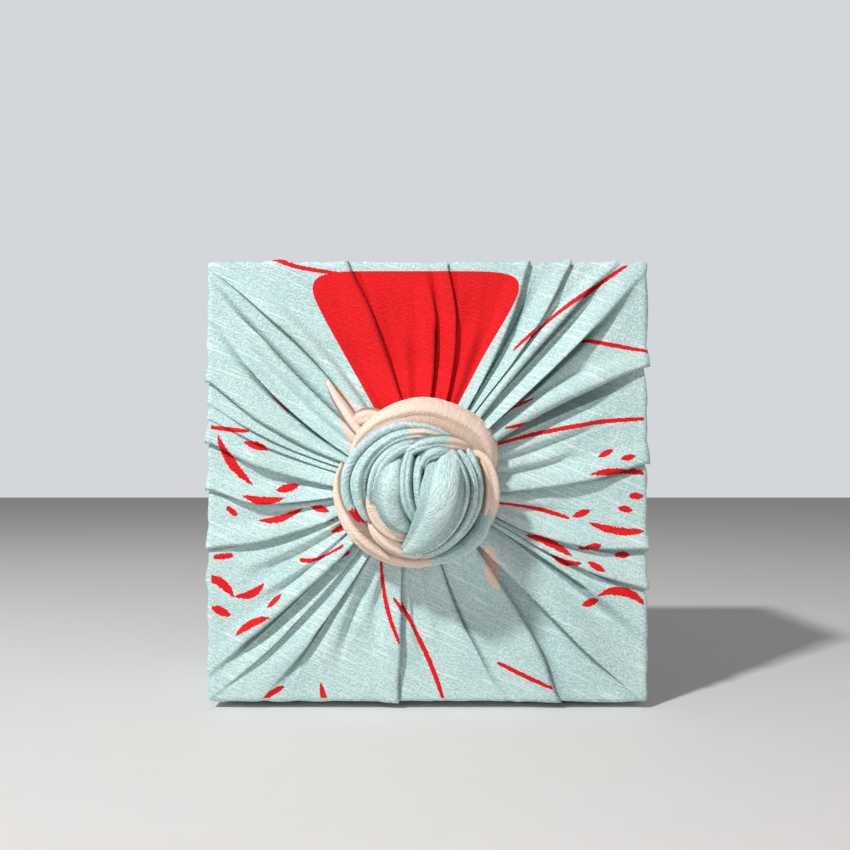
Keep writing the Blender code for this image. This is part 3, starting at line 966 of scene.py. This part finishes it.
def brushStrokeGroup():
    # one pointed stroke of a loaded brush, its edge a little ragged
    group, nodes, given, made = newGroup("brushStroke", ("Flat", "Place", "Turn", "Half Size"),
                                         {"Bend": 0.0, "Taper": 0.3, "Ragged": 0.0}, ("Mask",))
    local = nodes.add("ShaderNodeMapping", settings={"vector_type": "TEXTURE"}, Vector=given["Flat"],
                      Location=given["Place"], Rotation=given["Turn"], Scale=given["Half Size"])
    x, y = nodes.split(local)[:2]
    squared = nodes.times(x, x)
    bent = nodes.math("ABSOLUTE", nodes.math("MULTIPLY_ADD", squared, given["Bend"], y))
    body = nodes.math("POWER", nodes.less(1.0, squared, clamp=True), given["Taper"])
    inside = nodes.plus(nodes.less(body, bent), given["Ragged"])
    nodes.put(made["Mask"], nodes.times(nodes.ramp(inside, 0.0, 0.14), nodes.ramp(squared, 1.0, 0.98)))
    return group


def risingSunGroup():
    group, nodes, given, made = newGroup(
        "risingSun", ("Flat", "Place", "Half Size"), {"Square": 2.5, "Narrow": 0.0, "Ragged": 0.0}, ("Mask",))
    local = nodes.add("ShaderNodeMapping", settings={"vector_type": "TEXTURE"}, Vector=given["Flat"],
                      Location=given["Place"], Scale=given["Half Size"])
    x, y = nodes.split(local)[:2]
    wide = nodes.less(1.0, nodes.times(y, given["Narrow"]))
    across = nodes.math("DIVIDE", x, nodes.math("MAXIMUM", wide, 0.01))
    powers = [nodes.math("POWER", nodes.math("ABSOLUTE", value), given["Square"]) for value in (across, y)]
    reach = nodes.plus(nodes.plus(*powers), nodes.times(given["Ragged"], 0.05))
    nodes.put(made["Mask"], nodes.ramp(reach, 1.0, 0.975))
    return group


def fibreGroup():
    # specks and drawn-out fibres, for board and for the floor's faint mottle
    group, nodes, given, made = newGroup("fibre", ("Vector",), {"Scale": 300.0}, ("Fleck", "Height"))
    fine = nodes.add("ShaderNodeTexNoise", Vector=given["Vector"], Scale=given["Scale"], Detail=4.0,
                     Roughness=0.7)
    broad = nodes.add("ShaderNodeTexNoise", Vector=given["Vector"], Scale=nodes.times(given["Scale"], 0.06),
                      Detail=2.0)
    nodes.put(made["Fleck"], nodes.plus(nodes.times(fine, 0.5), nodes.times(broad, 0.5)))
    nodes.put(made["Height"], fine)
    return group


def newMaterial(name):
    material = bpy.data.materials.new(name)
    material.use_nodes = True
    return material, Nodes(material.node_tree), material.node_tree.nodes["Principled BSDF"]


def placeGroup(nodes, group, **values):
    node = nodes.tree.nodes.new("ShaderNodeGroup")
    node.node_tree = group
    for label, value in values.items():
        nodes.put(node.inputs[label.replace("_", " ")], value)
    return node.outputs


# how strongly each part of the cotton's look and its painted shade show, as shares
look = {
    "slubPale": 0.6, "speckPale": 0.55, "cloudPale": 0.35, "bareCloudPale": 0.5, "threadDark": 0.62,
    "inkDark": 0.5, "raggedInk": 0.22, "raggedDye": 0.4, "paintedShadeDark": 0.62, "paintedShadeRich": 0.35,
    "rough": 0.86, "slubSmooth": 0.14, "bumpHeight": 0.0004,
}


def redMarks(nodes, groups, flat, marks, ragged):
    across, reach = flatOn(0, sun["across"], sun["reach"])
    red = placeGroup(nodes, groups["risingSun"], Flat=flat, Place=(across, reach, 0), Square=sun["square"],
                     Half_Size=(sun["halfWide"] * mm, sun["halfReach"] * mm, 1), Narrow=sun["narrow"],
                     Ragged=ragged)["Mask"]
    for stroke in [dict(zip(strokeColumns, row), flap=flap) for flap in marks for row in marks[flap]]:
        which = sides.index(stroke["flap"])
        turn = math.radians(stroke["turn"] - 90 * which)
        size = (stroke["long"] * mm / 2, stroke["wide"] * mm / 2, 1)
        taper = 0.22 if stroke["wide"] < 3 else 0.7     # lines are blunt, leaves pointed
        place = flatOn(which, stroke["across"], stroke["reach"]) + (0,)
        one = placeGroup(nodes, groups["brushStroke"], Flat=flat, Place=place, Turn=(0, 0, turn),
                         Half_Size=size, Bend=float(stroke["bend"]), Taper=taper, Ragged=ragged)["Mask"]
        red = nodes.math("MAXIMUM", red, one)
    return red


def printedCotton(name, groups, marks, bump, fade):
    # without marks, the red is where the sheet's own attribute says
    material, nodes, shader = newMaterial(name)
    flat = nodes.add("ShaderNodeUVMap", settings={"uv_map": "flat"})
    weave = placeGroup(nodes, groups["slubWeave"], Flat=flat)
    undyed = nodes.plus(nodes.attribute("undyed"), nodes.times(weave["Cloud"], look["raggedDye"]))
    undyed = nodes.ramp(undyed, 0.7 - fade, 0.7 + fade)
    ragged = nodes.times(nodes.less(weave["Thread"], 0.5), look["raggedInk"])
    if marks:
        red = nodes.times(redMarks(nodes, groups, flat, marks, ragged), nodes.less(1.0, undyed))
    else:
        red = nodes.ramp(nodes.plus(nodes.attribute("red"), ragged), 0.4, 0.6)
    cloudy = nodes.ramp(weave["Cloud"], 0.32, 0.68)
    pale = nodes.math("MAXIMUM", nodes.times(weave["Slub"], look["slubPale"]),
                      nodes.times(weave["Speck"], look["speckPale"]))
    aqua = nodes.blend(nodes.times(cloudy, look["cloudPale"]), dyes["aqua"], dyes["aquaPale"])
    aqua = nodes.blend(nodes.times(weave["Thread"], look["threadDark"]), aqua, dyes["aquaDeep"])
    aqua = nodes.blend(pale, aqua, dyes["aquaPale"])
    barePale = nodes.math("MAXIMUM", pale, nodes.times(cloudy, look["bareCloudPale"]))
    bare = nodes.blend(barePale, dyes["undyed"], dyes["undyedPale"])
    ink = nodes.blend(nodes.times(weave["Thread"], look["inkDark"]), dyes["red"], dyes["redDeep"])
    colour = nodes.blend(red, nodes.blend(undyed, aqua, bare), ink)
    # painted shade: darker and richer cloth where the attribute marks creases and strand sides that would lie
    # in shade
    paintedShade = nodes.attribute("paintedShade")
    colour = nodes.add("ShaderNodeHueSaturation", Color=colour,
                       Saturation=nodes.plus(1.0, nodes.times(paintedShade, look["paintedShadeRich"])),
                       Value=nodes.less(1.0, nodes.times(paintedShade, look["paintedShadeDark"])))
    nodes.put(shader.inputs["Base Color"], colour)
    rough = nodes.less(look["rough"], nodes.times(weave["Slub"], look["slubSmooth"]))
    nodes.put(shader.inputs["Roughness"], rough)
    nodes.put(shader.inputs["Sheen Weight"], 0.05)
    nodes.put(shader.inputs["Specular IOR Level"], 0.25)
    raised = nodes.add("ShaderNodeBump", Strength=bump, Distance=look["bumpHeight"], Height=weave["Height"])
    nodes.put(shader.inputs["Normal"], raised)
    return material


def giftBoard(groups):
    material, nodes, shader = newMaterial("giftBoard")
    spot = nodes.add("ShaderNodeTexCoord", out=3)
    fibre = placeGroup(nodes, groups["fibre"], Vector=spot, Scale=320.0)
    tone = nodes.ramp(fibre["Fleck"], 0.38, 0.62)
    nodes.put(shader.inputs["Base Color"], nodes.blend(tone, (0.44, 0.30, 0.18, 1), (0.62, 0.46, 0.30, 1)))
    nodes.put(shader.inputs["Roughness"], nodes.plus(0.7, nodes.times(tone, 0.15)))
    raised = nodes.add("ShaderNodeBump", Strength=0.3, Distance=0.0003, Height=fibre["Height"])
    nodes.put(shader.inputs["Normal"], raised)
    return material


def paleFloor(groups):
    material, nodes, shader = newMaterial("paleFloor")
    spot = nodes.add("ShaderNodeTexCoord", out=3)
    fibre = placeGroup(nodes, groups["fibre"], Vector=spot, Scale=60.0)
    mottle = nodes.blend(fibre["Fleck"], (0.72, 0.70, 0.68, 1), (0.78, 0.76, 0.74, 1))
    nodes.put(shader.inputs["Base Color"], mottle)
    nodes.put(shader.inputs["Roughness"], nodes.plus(0.6, nodes.times(fibre["Fleck"], 0.2)))
    return material


groups = {"slubWeave": slubWeaveGroup(), "brushStroke": brushStrokeGroup(), "risingSun": risingSunGroup(),
          "fibre": fibreGroup()}
wrapSheet.data.materials.append(printedCotton("printedCotton", groups, strokes, 0.9, 0.06))
wrapSheet.data.materials.append(printedCotton("printedCottonAround", groups, strokesAround, 0.9, 0.06))
woundRose.data.materials.append(printedCotton("printedCottonTips", groups, None, 0.8, 0.28))
board = giftBoard(groups)
giftBox = bpy.data.objects["gift_box"]
for slot in giftBox.material_slots:
    slot.material = board
print("cotton printed")

# the studio
studio = {
    "floorSize": 8.0,
    "lens": 40,
    "cameraBack": 0.430,        # from the front of the wrap
    "cameraUp": 0.003,          # above the middle of the front
    "frameUp": 0.059,
    "frameAcross": -0.003,
    "keyFrom": (-0.78, -1.02, 1.22), "keySize": 0.12, "keyPower": 27,
    "fillFrom": (1.0, -1.0, 0.25), "fillSize": 1.2, "fillPower": 2.6, "fillColour": (1.0, 0.74, 0.68),
    "airColour": (0.88, 0.91, 0.95, 1), "airPower": 0.29, "backdropPower": 0.74,
}


def softLight(name, place, size, power, tint):
    lamp = bpy.data.lights.new(name, "AREA")
    lamp.size, lamp.energy, lamp.color = size, power, tint
    light = bpy.data.objects.new(name, lamp)
    light.location = place
    light.rotation_euler = (middle - Vector(place)).to_track_quat("-Z", "Y").to_euler()
    bpy.context.collection.objects.link(light)


bpy.ops.object.select_all(action="DESELECT")
bpy.ops.mesh.primitive_plane_add(size=studio["floorSize"], location=(0, 0, 0))
floor = bpy.context.object
floor.name = "floor"
floor.data.materials.append(paleFloor(groups))
softLight("keyLight", studio["keyFrom"], studio["keySize"], studio["keyPower"], (1, 1, 1))
softLight("fillLight", studio["fillFrom"], studio["fillSize"], studio["fillPower"], studio["fillColour"])
air = bpy.data.worlds.new("air")
air.use_nodes = True
sky = Nodes(air.node_tree)
backdrop = air.node_tree.nodes["Background"]
backdrop.inputs["Color"].default_value = studio["airColour"]
seen = sky.add("ShaderNodeLightPath")      # the backdrop is paler than the light it gives
sky.put(backdrop.inputs["Strength"], sky.add("ShaderNodeMapRange", Value=seen, i3=studio["airPower"],
                                             i4=studio["backdropPower"]))
bpy.context.scene.world = air
bpy.context.scene.view_settings.view_transform = "Standard"

lens = bpy.data.cameras.new("camera")
lens.lens, lens.sensor_width = studio["lens"], 36
lens.shift_x, lens.shift_y = studio["frameAcross"], studio["frameUp"]
camera = bpy.data.objects.new("camera", lens)
camera.location = (middle.x, frontY - studio["cameraBack"], middle.z + studio["cameraUp"])
camera.rotation_euler = (math.pi / 2, 0, 0)
bpy.context.collection.objects.link(camera)
bpy.context.scene.camera = camera
print("studio set")
